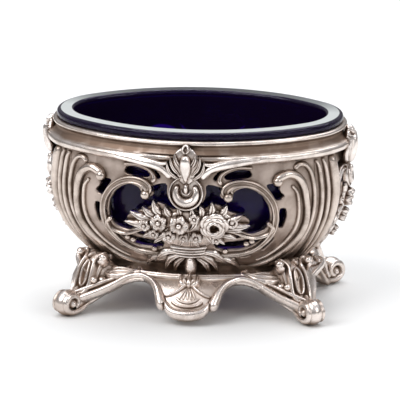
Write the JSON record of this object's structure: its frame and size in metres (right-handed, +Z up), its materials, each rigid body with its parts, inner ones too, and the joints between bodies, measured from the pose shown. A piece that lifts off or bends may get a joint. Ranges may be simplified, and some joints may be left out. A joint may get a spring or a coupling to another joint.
{
  "type": "salt cellar",
  "caption": "Oval open salt cellar: pierced cast silver bowl on four scroll feet, with flower baskets and shell bosses, and a lift-out cobalt glass liner.",
  "frame": {"origin": "middle of the plan, on the table under the feet", "axes": "+X along the bowl's length to the right, +Z up; the front with the rose on the right faces -Y"},
  "size_m": [0.0876, 0.0606, 0.0537],
  "materials": {
    "silver_rim": "hand-worn silver, tarnished warm brown in the cove",
    "silver_body": "cast and chased silver, bright on the ribs and warm grey-brown in the grounds",
    "silver_ornament": "cast silver, rubbed bright on the high points, dark in the hollows",
    "silver_base": "cast silver, worn bright on the feet and lip",
    "cobalt_glass": "deep cobalt glass, fire-polished, with a ground top edge"
  },
  "bodies": {
    "frame": {"rim_moulding": "silver_rim", "waist_ring": "silver_body", "front_panel": "silver_body", "back_panel": "silver_body", "left_panel": "silver_body", "right_panel": "silver_body", "corner_ribs_front_left": "silver_body", "corner_ribs_front_right": "silver_body", "corner_ribs_back_left": "silver_body", "corner_ribs_back_right": "silver_body", "scroll_front_left": "silver_body", "scroll_front_right": "silver_body", "scroll_back_left": "silver_body", "scroll_back_right": "silver_body", "rim_clasp_front": "silver_ornament", "rim_clasp_back": "silver_ornament", "rim_clasp_left": "silver_ornament", "rim_clasp_right": "silver_ornament", "shell_boss_front": "silver_ornament", "shell_boss_back": "silver_ornament", "shell_boss_left": "silver_ornament", "shell_boss_right": "silver_ornament", "flower_basket_front": "silver_ornament", "flower_basket_back": "silver_ornament", "flower_spray_left": "silver_ornament", "flower_spray_right": "silver_ornament", "leg_front_left": "silver_base", "leg_front_right": "silver_base", "leg_back_left": "silver_base", "leg_back_right": "silver_base", "apron_front": "silver_base", "apron_back": "silver_base", "apron_left": "silver_base", "apron_right": "silver_base"},
    "liner": {"glass_liner": "cobalt_glass"}
  },
  "joints": [
    {"name": "liner_lift", "type": "slide", "parent": "frame", "child": "liner", "axis": [0, 0, 1], "range_m": [0, 0.045]}
  ]
}
